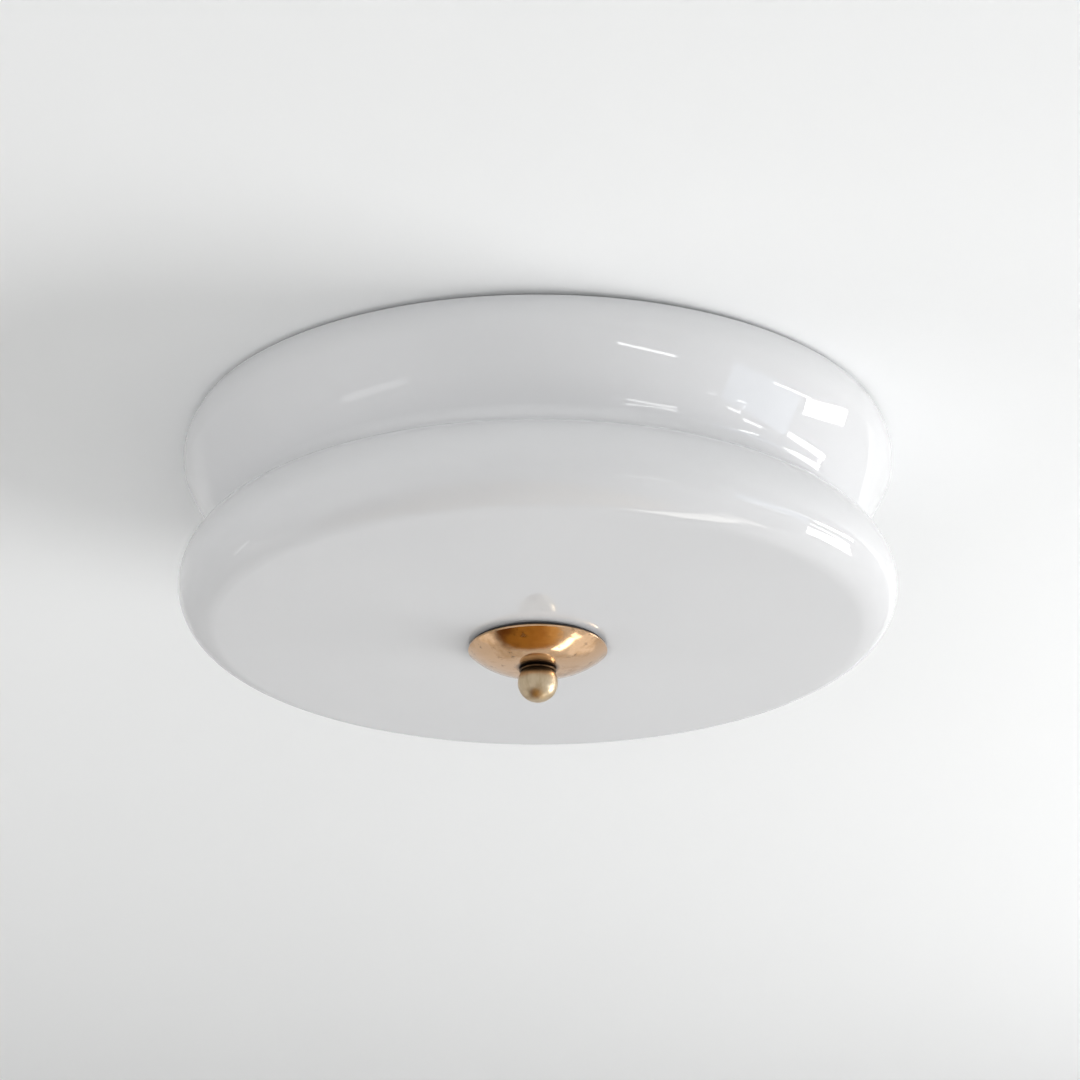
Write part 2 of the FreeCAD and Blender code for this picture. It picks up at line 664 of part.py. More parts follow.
def tube_along(corners, radius, bend):
    """A round tube on straight runs joined by tangent arcs."""
    edges = []
    start = corners[0]
    for before, here, after in zip(corners, corners[1:], corners[2:]):
        way_in = (here - before).normalize()
        way_out = (after - here).normalize()
        angle = way_in.getAngle(way_out)
        cut_back = bend * math.tan(angle / 2)
        first = here - way_in * cut_back
        last = here + way_out * cut_back
        bisector = (way_out - way_in).normalize()
        centre = here + bisector * (bend / math.cos(angle / 2))
        edges.append(Part.LineSegment(start, first).toShape())
        edges.append(Part.Arc(first, centre - bisector * bend, last).toShape())
        start = last
    edges.append(Part.LineSegment(start, corners[-1]).toShape())
    spine = Part.Wire(edges)
    circle = Part.Circle(corners[0], (corners[1] - corners[0]).normalize(), radius)
    tube = spine.makePipeShell([Part.Wire(circle.toShape())], True, False)
    print("lead", round(spine.Length, 1), "mm, volume share",
          round(tube.Volume / (math.pi * radius ** 2 * spine.Length), 4))
    return tube


def leads(side):
    """The leads of one pole, one from each lampholder."""
    tubes = [tube_along(lead_route(turn), LEAD_RADIUS, LEAD_BEND) for turn in (1, -1)]
    pair = Part.makeCompound(tubes)
    if side < 0:
        pair.rotate(ORIGIN, UP, 180)
    return pair


def lead_bushings():
    """Snap-in grommets that line the pan's lead holes."""
    top = -PAN_DEPTH + PAN_SHEET
    low = -PAN_DEPTH
    outer = BUSHING_RADIUS - 0.05
    inner = BUSHING_RADIUS - BUSHING_WALL
    lip = BUSHING_RADIUS + 1.6
    bushing = turned(lines((inner, low - 1.4), (lip, low - 1.4), (lip, low), (outer, low), (outer, top),
                           (lip - 0.4, top), (lip - 0.4, top + 1.2), (inner, top + 1.2), (inner, low - 1.4)))
    both = []
    for side in (-1, 1):
        placed = bushing.copy()
        placed.translate(FreeCAD.Vector(side * BUSHING_X, 0, 0))
        both.append(placed)
    return Part.makeCompound(both)


def lead_connector(side):
    """A twist-on connector lying on the pan, with eight grip flats and a blind mouth."""
    step = 2 * math.pi / CONNECTOR_FLATS
    ends = []
    for radius, height in ((CONNECTOR_RADIUS, 0), (CONNECTOR_TIP_RADIUS, CONNECTOR_LENGTH)):
        corners = [FreeCAD.Vector(radius * math.cos((k + 0.5) * step), radius * math.sin((k + 0.5) * step), height)
                   for k in range(CONNECTOR_FLATS + 1)]
        ends.append(Part.makePolygon(corners))
    cone = Part.makeLoft(ends, True, True)
    cone = cone.cut(Part.makeCylinder(CONNECTOR_BORE, CONNECTOR_SOCKET))
    cone.rotate(ORIGIN, FreeCAD.Vector(1, 0, 0), -90)
    cone.translate(FreeCAD.Vector(0, CONNECTOR_Y, connector_height()))
    if side < 0:
        cone.rotate(ORIGIN, UP, 180)
    return cone


def nodes():
    pieces = {
        "crossbar": crossbar(),
        "ceiling_pan": ceiling_pan(),
        "pan_screws": pan_screws(),
        "pan_nuts": pan_nuts(),
        "earth_screw": earth_screw(),
        "centre_rod": centre_rod(),
        "rod_lock_nuts": rod_lock_nuts(),
        "rod_lock_washer": rod_lock_washer(),
        "lampholder_bracket": lampholder_bracket(),
        "lead_bushings": lead_bushings(),
        "live_leads": leads(1),
        "neutral_leads": leads(-1),
        "live_connector": lead_connector(1),
        "neutral_connector": lead_connector(-1),
        "stop_nut": stop_nut(),
        "stop_washer": stop_washer(),
        "inner_gasket": inner_gasket(),
        "glass_shade": glass_shade(),
        "rim_gasket": rim_gasket(),
        "brass_dish": brass_dish(),
        "knob_collar": knob_collar(),
        "ball_knob": ball_knob(),
    }
    lamp_pieces = {
        "lampholder_{}_body": lampholder_body(),
        "lampholder_{}_shell": lampholder_shell(),
        "lampholder_{}_contact": lampholder_contact(),
        "lampholder_{}_screws": lampholder_screws(),
        "bulb_{}_insulator": bulb_insulator(),
        "bulb_{}_cap": bulb_cap(),
        "bulb_{}_globe": bulb_globe(),
    }
    for name, shape in lamp_pieces.items():
        pieces[name.format(1)] = shape
        pieces[name.format(2)] = to_far_side(shape)
    return pieces


os.makedirs("parts", exist_ok=True)
for node, solid in nodes().items():
    print(node, "valid" if solid.isValid() else "NOT VALID", len(solid.Solids), round(solid.Volume / 1000, 2), "cm3")
    solid.exportStep(os.path.join("parts", node + ".step"))
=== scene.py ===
import json
import bmesh
import bpy
import numpy as np
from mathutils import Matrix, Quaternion, Vector


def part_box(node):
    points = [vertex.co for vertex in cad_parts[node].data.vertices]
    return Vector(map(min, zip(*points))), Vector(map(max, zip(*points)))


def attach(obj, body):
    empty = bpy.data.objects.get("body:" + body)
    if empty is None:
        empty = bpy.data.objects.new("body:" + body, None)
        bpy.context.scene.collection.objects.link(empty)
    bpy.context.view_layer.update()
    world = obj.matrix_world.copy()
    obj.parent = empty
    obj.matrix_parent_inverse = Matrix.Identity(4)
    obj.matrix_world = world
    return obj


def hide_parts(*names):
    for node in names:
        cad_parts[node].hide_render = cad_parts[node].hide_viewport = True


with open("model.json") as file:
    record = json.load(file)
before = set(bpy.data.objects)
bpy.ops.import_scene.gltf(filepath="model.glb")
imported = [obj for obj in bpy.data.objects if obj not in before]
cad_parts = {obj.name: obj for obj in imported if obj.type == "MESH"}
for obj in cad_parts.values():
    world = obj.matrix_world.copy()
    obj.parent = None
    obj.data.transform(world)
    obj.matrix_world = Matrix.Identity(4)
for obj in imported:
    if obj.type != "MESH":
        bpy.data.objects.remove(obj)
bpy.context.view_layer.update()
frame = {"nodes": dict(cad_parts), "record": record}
mm = 0.001
fullTurn = 2 * np.pi
bodyOf = {node: body for body, nodes in frame["record"]["behaviour"]["bodies"].items() for node in nodes}
slotOf = {part["node"]: part["material_slot"] for part in frame["record"]["subparts"]}
dressed = set()


class Wire:  # a node's output that takes part in arithmetic
    def __init__(self, writer, socket):
        self.writer = writer
        self.socket = socket

    def __add__(self, other):
        return self.writer.math("ADD", self, other)

    def __sub__(self, other):
        return self.writer.math("SUBTRACT", self, other)

    def __rsub__(self, other):
        return self.writer.math("SUBTRACT", other, self)

    def __mul__(self, other):
        return self.writer.math("MULTIPLY", self, other)

    def __truediv__(self, other):
        return self.writer.math("DIVIDE", self, other)

    def __rtruediv__(self, other):
        return self.writer.math("DIVIDE", other, self)

    __radd__ = __add__
    __rmul__ = __mul__


class NodeWriter:  # writes a node tree: one method adds any node
    def __init__(self, tree):
        self.tree = tree

    def add(self, kind, settings=None, sockets=None, output=0):
        node = self.tree.nodes.new(kind)
        for key, value in (settings or {}).items():
            if key == "stops":
                self.setStops(node.color_ramp, value)
            else:
                setattr(node, key, value)
        for key, value in (sockets or {}).items():
            self.feed(node.inputs[key], value)
        return Wire(self, node.outputs[output])

    def feed(self, socket, value):
        if isinstance(value, Wire):
            self.tree.links.new(value.socket, socket)
        else:
            socket.default_value = value

    def setStops(self, ramp, stops):
        while len(ramp.elements) < len(stops):
            ramp.elements.new(0.5)
        for element, (place, colour) in zip(ramp.elements, stops):
            element.position = place
            element.color = (*colour, 1)

    def math(self, operation, *values):
        return self.add("ShaderNodeMath", {"operation": operation}, dict(enumerate(values)))

    def vector(self, operation, *values, output=0):
        return self.add("ShaderNodeVectorMath", {"operation": operation}, dict(enumerate(values)), output)

    def glow(self, kind, colour, strength):  # an Emission or a Background node
        return self.add(kind, None, {"Color": (*colour, 1), "Strength": strength})

    def mixShaders(self, factor, first, second):
        return self.add("ShaderNodeMixShader", None, {0: factor, 1: first, 2: second})

    def showsBackdrop(self):  # 1 for a ray from the camera, off a shiny surface or through glass
        rays = ("Is Camera Ray", "Is Glossy Ray", "Is Transmission Ray")
        camera, glossy, through = (self.add("ShaderNodeLightPath", output=ray) for ray in rays)
        return self.math("MAXIMUM", self.math("MAXIMUM", camera, glossy), through)


class Finish(NodeWriter):  # a material being written
    def __init__(self, name, fixed):
        self.material = bpy.data.materials.new(name)
        self.material.use_nodes = True
        super().__init__(self.material.node_tree)
        self.shader = self.tree.nodes["Principled BSDF"]
        for socket, value in fixed.items():
            self.shader.inputs[socket].default_value = value

    def drive(self, socket, value):
        self.feed(self.shader.inputs[socket], value)

    def place(self):  # where a point is, in the frame that all pieces share
        return self.add("ShaderNodeTexCoord", output="Object")

    def height(self):
        return self.add("ShaderNodeSeparateXYZ", None, {0: self.place()}, "Z")

    def across(self, shift=0.0):
        # distance from the light's centre line, or from a line that is shifted to the near side
        moved = self.vector("ADD", self.place(), (0, shift, 0))
        return self.vector("LENGTH", self.vector("MULTIPLY", moved, (1, 1, 0)), output="Value")

    def noise(self, scale, detail=3.0, roughness=0.5, vector=None):
        sockets = {"Vector": vector or self.place(), "Scale": scale, "Detail": detail,
                   "Roughness": roughness}
        return self.add("ShaderNodeTexNoise", None, sockets)

    def ramp(self, value, *stops):
        return self.add("ShaderNodeValToRGB", {"stops": stops}, {"Fac": value})

    def mask(self, value, start, end, low=0.0, high=1.0):  # goes from low to high between two values
        return self.ramp(value, (start, (low, low, low)), (end, (high, high, high)))

    def mottle(self, cloud, first, second):  # drifts from one colour to another with a noise
        return self.ramp(cloud, (0.3, first), (0.7, second))

    def blend(self, factor, first, second):  # 6, 7 and 2 are the Mix node's colour sockets
        colours = [(*colour, 1) if isinstance(colour, tuple) else colour for colour in (first, second)]
        settings = {"data_type": "RGBA", "clamp_factor": True}
        return self.add("ShaderNodeMix", settings, {0: factor, 6: colours[0], 7: colours[1]}, 2)

    def bump(self, height, distance, strength=1.0):
        sockets = {"Height": height, "Distance": distance, "Strength": strength}
        self.drive("Normal", self.add("ShaderNodeBump", None, sockets))


def arcPoints(centre, radius, start, end, count):  # points at equal angles, in degrees, round a centre
    turn = np.radians(np.linspace(start, end, count))
    return np.stack([centre[0] + radius * np.cos(turn), centre[1] + radius * np.sin(turn)], -1)


def bearing(start, end):  # the direction from one point to another, in degrees
    return np.degrees(np.arctan2(end[1] - start[1], end[0] - start[0]))


def circlesMeet(centreA, radiusA, centreB, radiusB):  # the crossing further from the axis
    across = np.subtract(centreB, centreA)
    gap = np.hypot(*across)
    along = (radiusA ** 2 - radiusB ** 2 + gap ** 2) / (2 * gap)
    aside = np.sqrt(radiusA ** 2 - along ** 2)
    unit = across / gap
    side = np.array([-unit[1], unit[0]]) * aside
    crossings = [np.add(centreA, unit * along + sign * side) for sign in (1, -1)]
    return max(crossings, key=lambda crossing: crossing[0])


def finishMesh(name, points, faces, smoothAngle):
    mesh = bpy.data.meshes.new(name)
    mesh.from_pydata(points.reshape(-1, 3).tolist(), [], faces.tolist())
    work = bmesh.new()
    work.from_mesh(mesh)
    bmesh.ops.remove_doubles(work, verts=work.verts, dist=1e-7)
    bmesh.ops.recalc_face_normals(work, faces=work.faces)
    work.to_mesh(mesh)
    work.free()
    mesh.shade_smooth()
    mesh.set_sharp_from_angle(angle=np.radians(smoothAngle))
    piece = bpy.data.objects.new(name, mesh)
    bpy.context.scene.collection.objects.link(piece)
    return piece


def gridPiece(name, grids, closed, smoothAngle):
    # quads between neighbours on each grid of points: columns go round, and if closed, rows do too
    faces = []
    start = 0
    for points in grids:
        rows, columns = points.shape[:2]
        index = start + np.arange(rows * columns).reshape(rows, columns)
        start += rows * columns
        if closed:
            index = np.vstack([index, index[:1]])
        index = np.hstack([index, index[:, :1]])
        corners = [index[:-1, :-1], index[1:, :-1], index[1:, 1:], index[:-1, 1:]]
        faces.append(np.stack(corners, -1).reshape(-1, 4))
    points = np.vstack([grid.reshape(-1, 3) for grid in grids])
    return finishMesh(name, points, np.vstack(faces), smoothAngle)


def anglesRound(segments):  # equal steps round a full turn, in radians
    return np.arange(segments) * fullTurn / segments


def turnedPoints(profile, segments):
    # each profile point (radius, height) goes round the axis: (r cos a, r sin a, z)
    angle = anglesRound(segments)
    radius = profile[:, :1]
    height = np.repeat(profile[:, 1:], segments, 1)
    return np.stack([radius * np.cos(angle), radius * np.sin(angle), height], -1)


def pulledIn(points, depth):
    # each point goes in towards the Z axis by its depth; the least distance is for points on the axis
    leastDistance = 1 * mm
    distance = np.maximum(np.hypot(points[..., 0], points[..., 1]), leastDistance)
    moved = points.copy()
    moved[..., :2] *= (1 - depth / distance)[..., None]
    return moved


def threadPoints(low, high, radius, thread):
    # radius less depth times a ridge of the phase z / pitch - angle / full turn, faded at both ends
    count = int((high - low) / thread["pitch"] * thread["steps"]) + 1
    height = np.linspace(low, high, count)[:, None]
    angle = anglesRound(thread["segments"])
    phase = (height / thread["pitch"] - angle / fullTurn) % 1
    ridge = (1 - np.cos(phase * fullTurn)) / 2 if thread["round"] else np.abs(2 * phase - 1)
    fade = np.clip(np.minimum(height - low, high - height) / thread["pitch"], 0, 1)
    outside = radius - thread["depth"] * (ridge * fade + thread["bevel"] * (1 - fade))
    end = np.full((1, thread["segments"]), thread["bore"])
    radii = np.vstack([end, outside, end])
    heights = np.repeat(np.vstack([[[low]], height, [[high]]]), thread["segments"], 1)
    return np.stack([radii * np.cos(angle), radii * np.sin(angle), heights], -1)


def atBothEnds(points, low, high):
    # a shape made round the Z axis, at each end along X of a box that is as deep as the shape is wide
    return [points + np.array((x, 0, 0)) for x in (low.x + high.y, high.x - high.y)]


def install(piece, finish, node):  # the piece stands for a node, on the node's body
    piece.data.materials.clear()
    piece.data.materials.append(finish)
    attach(piece, bodyOf[node])
    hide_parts(node)
    dressed.add(node)


def smoothCopy(node, finish):
    # the node's own loose triangles, merged and shaded smooth up to its edges
    source = frame["nodes"][node].data
    corners = np.empty(len(source.vertices) * 3)
    source.vertices.foreach_get("co", corners)
    ends = np.empty(len(source.loops), dtype=int)
    source.loops.foreach_get("vertex_index", ends)
    install(finishMesh(node + "_dressed", corners, ends.reshape(-1, 3), smoothAngle=32), finish, node)


shadeShape = {"upperRadius": 174.9 * mm, "upperDepth": 12.5 * mm, "upperBulge": 19.0 * mm,
              "upperTurn": 27.0, "waistSweep": 200.0 * mm, "waistFillet": 6.0 * mm,
              "lowerDepth": 80.0 * mm, "lowerShoulder": 24.0 * mm, "lowerBulge": 21.0 * mm,
              "wall": 3.6 * mm, "rimGap": 1.4 * mm, "rimEase": 0.8 * mm, "hole": 7.0 * mm,
              "segments": 288}
shadeLook = {"colours": ((0.685, 0.688, 0.698), (0.712, 0.714, 0.722)), "roughness": 0.018}
shadeSteps = {"rim": 5, "upper": 26, "waist": 14, "fillet": 16, "shoulder": 26, "bulge": 34, "dome": 24}
# slow waves in the blown glass, inwards only: how many go round it, the radians that each turns per mm of
# height, and where it starts. Inside one radius the glass is calm, and they grow over the next stretch
shadeWaves = {"depth": 0.10 * mm, "waves": ((3, 0.11, 0.0), (5, -0.07, 1.3), (2, 0.23, 0.4)),
              "calmInside": 30 * mm, "calmFade": 60 * mm}


def opalGlass():
    look = Finish("opalGlass", {"IOR": 1.52, "Coat Weight": 0.0})
    look.drive("Base Color", look.mottle(look.noise(6.0, detail=2.0), *shadeLook["colours"]))
    look.drive("Roughness", shadeLook["roughness"] + look.noise(22.0, detail=2.0) * 0.024)
    look.bump(look.noise(16.0, detail=2.0, roughness=0.4), distance=0.3 * mm, strength=0.35)
    return look.material


def shadeFace(inset):
    # arcs tangent to each other from the rim down to the hole, moved into the glass by inset
    shape = shadeShape
    low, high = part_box("glass_shade")
    outer = inset == 0
    radius = high.x
    upper = (shape["upperRadius"] - shape["upperBulge"], -shape["upperDepth"])
    turn = np.radians(shape["upperTurn"])
    reach = shape["waistSweep"] - shape["upperBulge"]
    waist = (upper[0] - reach * np.cos(turn), upper[1] + reach * np.sin(turn))
    shoulder = (radius - shape["lowerShoulder"], -shape["lowerDepth"])
    bulge = (radius - shape["lowerBulge"], -shape["lowerDepth"])
    fillet = circlesMeet(waist, shape["waistSweep"] + shape["waistFillet"],
                         shoulder, shape["lowerShoulder"] + shape["waistFillet"])
    drop = -low.z - shape["lowerDepth"]
    domeRadius = ((bulge[0] ** 2 + drop ** 2 - shape["lowerBulge"] ** 2)
                  / (2 * (drop - shape["lowerBulge"])))
    dome = (0, domeRadius + low.z)
    upperRadius = shape["upperBulge"] - inset
    ease = shape["rimEase"] * (1 if outer else -1)
    rimDepth = shape["rimGap"] + shape["rimEase"]
    rimAngle = np.degrees(np.arcsin((shape["upperDepth"] - rimDepth) / upperRadius))
    rimPoint = arcPoints(upper, upperRadius, rimAngle, rimAngle, 1)[0]
    rimCentre = (rimPoint[0] - ease, rimPoint[1])
    domeEdge = bearing(dome, bulge)
    domeHole = -np.degrees(np.arccos(shape["hole"] / (domeRadius - inset)))
    arcs = {"rim": (rimCentre, abs(ease), 90, 0 if outer else 180),
            "upper": (upper, upperRadius, rimAngle, -shape["upperTurn"]),
            "waist": (waist, shape["waistSweep"] - inset, -shape["upperTurn"], bearing(waist, fillet)),
            "fillet": (fillet, shape["waistFillet"] + inset, bearing(fillet, waist) % 360,
                       bearing(fillet, shoulder) % 360),
            "shoulder": (shoulder, shape["lowerShoulder"] - inset, bearing(shoulder, fillet), 0),
            "bulge": (bulge, shape["lowerBulge"] - inset, 0, domeEdge),
            "dome": (dome, domeRadius - inset, domeEdge, domeHole)}
    spans = [arcPoints(*arc, shadeSteps[name]) for name, arc in arcs.items()]
    return np.vstack([spans[0]] + [span[1:] for span in spans[1:]])  # arcs share their end points


def makeShade():
    # both faces go round the axis, and each point moves in by depth * (1 - mean of the waves) / 2
    profile = np.vstack([shadeFace(0), shadeFace(shadeShape["wall"])[::-1]])
    radius = profile[:, :1]
    heightInMm = profile[:, 1:] / mm
    angle = anglesRound(shadeShape["segments"])
    waves = [np.sin(lobes * angle + heightInMm * rate + start)
             for lobes, rate, start in shadeWaves["waves"]]
    fade = np.clip((radius - shadeWaves["calmInside"]) / shadeWaves["calmFade"], 0, 1)
    inward = shadeWaves["depth"] * (1 - sum(waves) / len(waves)) / 2 * fade
    points = pulledIn(turnedPoints(profile, shadeShape["segments"]), inward)
    install(gridPiece("opalShade", [points], closed=True, smoothAngle=50), opalGlass(), "glass_shade")


dishShape = {"sheet": 1.5 * mm, "lip": 1.6 * mm, "flat": 9.0 * mm, "hole": 5.3 * mm, "segments": 256}
dishSteps = {"bowl": 30, "bead": 9, "inner": 24}
# the dish is painted darker along its rim, a painted shadow where it meets the glass, and round its seat,
# a painted shade and reflection of the neck that lies a little off centre
dishLook = {"bright": (0.80, 0.51, 0.29), "tarnished": (0.62, 0.35, 0.15), "spotted": (0.16, 0.09, 0.04),
            "paintedShadeTone": (0.05, 0.03, 0.02), "roughness": 0.12, "darkEdge": 0.9 * mm, "edgeFade": 0.4,
            "darkSeat": 11.0 * mm, "seatFade": 0.78, "seatShift": 2.6 * mm}


def agedBrass(rimHeight):
    tones = dishLook
    look = Finish("agedBrass", {"Metallic": 1.0, "Coat Roughness": 0.06, "Coat IOR": 1.5})
    patches = look.noise(85.0, detail=4.0, roughness=0.62)
    tarnish = look.mask(patches, 0.47, 0.66)
    spots = look.mask(look.noise(190.0, roughness=0.6), 0.60, 0.70)
    # painted shadow along the top of the lip, where the dish meets the glass
    rise = (look.height() - (rimHeight - tones["darkEdge"])) / tones["darkEdge"]
    edge = look.mask(rise, 0.0, tones["edgeFade"])
    # painted shade and mirrored neck round the seat, moved towards the near side
    reach = look.across(tones["seatShift"]) / tones["darkSeat"]
    seat = look.mask(reach, tones["seatFade"], 1.0, low=1.0, high=0.0)
    paintedShade = look.math("MAXIMUM", edge, seat)
    metal = look.blend(tarnish, tones["bright"], tones["tarnished"])
    stained = look.blend(spots * 0.5, metal, tones["spotted"])
    # the painted shade darkens the colour, roughens it and thins the coat
    look.drive("Base Color", look.blend(paintedShade, stained, tones["paintedShadeTone"]))
    look.drive("Roughness", tones["roughness"] + tarnish * 0.07 + spots * 0.15 + paintedShade * 0.25)
    look.drive("Coat Weight", 0.5 + patches * 0.3 - paintedShade * 0.5)
    look.bump(look.noise(60.0, detail=2.0, roughness=0.45), distance=1.1 * mm, strength=0.30)
    return look.material


def makeDish():
    # a flat seat, a bowl whose arc leaves it level, an upright lip with a round edge, and inside it the
    # same arc less the sheet
    shape = dishShape
    low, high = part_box("brass_dish")
    rim = high.z
    bottom = low.z
    radius = high.x
    height = rim - bottom - shape["lip"]
    reach = radius - shape["flat"]
    bowl = (reach ** 2 + height ** 2) / (2 * height)
    centre = (shape["flat"], bottom + bowl)
    lipAngle = bearing(centre, (radius, bottom + height))
    inner = bowl - shape["sheet"]
    innerAngle = -np.degrees(np.arccos((reach - shape["sheet"]) / inner))
    bead = shape["sheet"] / 2
    profile = np.vstack([[(shape["hole"], bottom)],
                         arcPoints(centre, bowl, -90, lipAngle, dishSteps["bowl"]),
                         arcPoints((radius - bead, rim - bead), bead, 0, 180, dishSteps["bead"]),
                         arcPoints(centre, inner, innerAngle, -90, dishSteps["inner"]),
                         [(shape["hole"], bottom + shape["sheet"])]])
    points = turnedPoints(profile, shape["segments"])
    install(gridPiece("spunDish", [points], closed=True, smoothAngle=35), agedBrass(rim), "brass_dish")


collarShape = {"edgeSteps": 15, "segments": 128}
# the washer's near-black tones are partly its own dark brass, partly a painted shade of the neck between
# dish and ball
collarLook = {"colours": ((0.05, 0.03, 0.02), (0.22, 0.13, 0.06)), "roughness": 0.30}


def neckBrass():
    look = Finish("neckBrass", {"Metallic": 1.0})
    grimeAndShade = look.noise(260.0, detail=4.0, roughness=0.6)
    look.drive("Base Color", look.mottle(grimeAndShade, *collarLook["colours"]))
    look.drive("Roughness", collarLook["roughness"] + grimeAndShade * 0.2)
    look.bump(grimeAndShade, distance=0.08 * mm, strength=0.5)
    return look.material


def makeCollar():
    # a washer whose outer edge is half a circle
    low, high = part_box("knob_collar")
    half = (high.z - low.z) / 2
    edge = arcPoints((high.x - half, (high.z + low.z) / 2), half, -90, 90, collarShape["edgeSteps"])
    profile = np.vstack([[(dishShape["hole"], low.z)], edge, [(dishShape["hole"], high.z)]])
    points = turnedPoints(profile, collarShape["segments"])
    install(gridPiece("neckCollar", [points], closed=True, smoothAngle=35), neckBrass(), "knob_collar")


ballShape = {"bore": 5.08 * mm, "boreFloor": 9.6 * mm, "flatRadius": 8.1 * mm,
             "steps": 48, "segments": 128}
ballLook = {"bright": (0.70, 0.56, 0.38), "worn": (0.52, 0.39, 0.24), "neckShade": (0.10, 0.07, 0.04),
            "roughness": 0.31, "mostNeckShade": 0.85, "neckShadeFrom": 1.5 * mm}


def satinBrass(name="satinBrass", shadeHeights=None):
    # painted shade darkens the metal between two heights, where they are given, as on the ball's top
    # under its neck
    look = Finish(name, {"Metallic": 1.0})
    drawn = look.vector("MULTIPLY", look.place(), (1.0, 1.0, 0.22))
    worn = look.mask(look.noise(210.0, detail=4.0, roughness=0.6, vector=drawn), 0.38, 0.66)
    colour = look.blend(worn, ballLook["bright"], ballLook["worn"])
    if shadeHeights:
        low, high = shadeHeights
        # painted shade under the neck, darkest at the top of the ball
        grimeAndShade = look.mask((look.height() - low) / (high - low), 0.0, 1.0, high=ballLook["mostNeckShade"])
        colour = look.blend(grimeAndShade, colour, ballLook["neckShade"])
    look.drive("Base Color", colour)
    look.drive("Roughness", ballLook["roughness"] + worn * 0.12)
    look.bump(look.noise(900.0), distance=0.05 * mm, strength=0.6)
    return look.material


def makeBall():
    # a circle's arc from the edge of the flat on top down to the axis, and the blind bore from the flat
    shape = ballShape
    low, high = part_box("ball_knob")
    radius = high.x
    centre = (0, low.z + radius)
    start = np.degrees(np.arccos(shape["flatRadius"] / radius))
    floor = high.z - shape["boreFloor"]
    bore = [(0, floor), (shape["bore"], floor), (shape["bore"], high.z)]
    profile = np.vstack([bore, arcPoints(centre, radius, start, -90, shape["steps"])])
    points = turnedPoints(profile, shape["segments"])
    piece = gridPiece("ballKnob", [points], closed=False, smoothAngle=35)
    install(piece, satinBrass("satinBall", (centre[1] + ballLook["neckShadeFrom"], high.z)), "ball_knob")


# a thread has so many steps to a pitch, and its ends lose a share of its depth, "bevel"
rodThread = {"pitch": 1.0 * mm, "depth": 0.55 * mm, "bevel": 1.0, "round": False, "bore": 3.2 * mm,
             "steps": 6, "segments": 40}
screwThread = {"pitch": 0.7 * mm, "depth": 0.35 * mm, "bevel": 0.0, "round": False, "bore": 0.0,
               "steps": 6, "segments": 24}
zincLook = {"grey": (0.60, 0.61, 0.62), "yellowed": (0.72, 0.69, 0.60), "crystal": (0.48, 0.49, 0.50),
            "roughness": 0.24}


def zincPlate():
    look = Finish("zincPlate", {"Metallic": 1.0})
    crystals = look.add("ShaderNodeTexVoronoi", None, {"Vector": look.place(), "Scale": 420.0}, "Color")
    shade = look.add("ShaderNodeSeparateColor", None, {0: crystals})
    haze = look.blend(look.noise(45.0), zincLook["grey"], zincLook["yellowed"])  # a trace of passivation
    look.drive("Base Color", look.blend(shade * 0.25, haze, zincLook["crystal"]))
    look.drive("Roughness", zincLook["roughness"] + shade * 0.14)
    look.bump(look.noise(1200.0, detail=2.0), distance=0.03 * mm, strength=0.4)
    return look.material


def makeRod():
    low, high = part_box("centre_rod")
    points = threadPoints(low.z, high.z, high.x, rodThread)
    install(gridPiece("threadedRod", [points], closed=True, smoothAngle=60), zincPlate(), "centre_rod")


def makePanScrews():
    low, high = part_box("pan_screws")
    screws = atBothEnds(threadPoints(low.z, high.z, high.y, screwThread), low, high)
    piece = gridPiece("threadedPanScrews", screws, closed=False, smoothAngle=60)
    install(piece, zincPlate(), "pan_screws")


nutShape = {"skirt": 2.0 * mm, "dome": 4.5 * mm, "topEdge": 0.4 * mm, "footEdge": 0.3 * mm, "knurls": 30,
            "knurl": 0.16 * mm, "domeSteps": 14, "segments": 120}


def makePanNuts():
    # a turned cap nut: round its skirt the radius loses knurl * (1 - |cos(knurls * angle / 2)|)
    shape = nutShape
    low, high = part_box("pan_nuts")
    radius = high.y
    foot = high.z - shape["skirt"]
    skirt = [(0, high.z), (radius - shape["topEdge"], high.z), (radius, high.z - shape["topEdge"]),
             (radius, foot + shape["footEdge"]), (radius - shape["footEdge"], foot)]
    dome = arcPoints((0, low.z + shape["dome"]), shape["dome"], 0, -90, shape["domeSteps"])
    profile = np.vstack([skirt, dome])
    groove = 1 - np.abs(np.cos(anglesRound(shape["segments"]) * shape["knurls"] / 2))
    widest = profile[:, :1] > radius - shape["footEdge"] / 2
    points = pulledIn(turnedPoints(profile, shape["segments"]), widest * groove * shape["knurl"])
    piece = gridPiece("domedPanNuts", atBothEnds(points, low, high), closed=False, smoothAngle=35)
    install(piece, satinBrass(), "pan_nuts")


capThread = {"pitch": 3.629 * mm, "depth": 0.72 * mm, "bevel": 0.3, "round": True, "bore": 0.0,
             "steps": 18, "segments": 96}
capShape = {"sheet": 0.8 * mm, "bend": 2.0 * mm, "bendEnd": -8, "bendSteps": 10, "lip": 3.0 * mm}
capLook = {"bright": (0.80, 0.80, 0.79), "dull": (0.60, 0.58, 0.54), "roughness": 0.18}


def rolledMetal(name, bright, dull, roughness):
    look = Finish(name, {"Metallic": 1.0})
    streaks = look.noise(900.0, vector=look.vector("MULTIPLY", look.place(), (1.0, 0.12, 0.12)))
    stains = look.mask(look.noise(120.0, detail=4.0, roughness=0.6), 0.45, 0.75)
    look.drive("Base Color", look.blend(stains, bright, dull))
    look.drive("Roughness", roughness + streaks * 0.10 + stains * 0.10)
    look.bump(streaks, distance=0.03 * mm, strength=0.4)
    return look.material


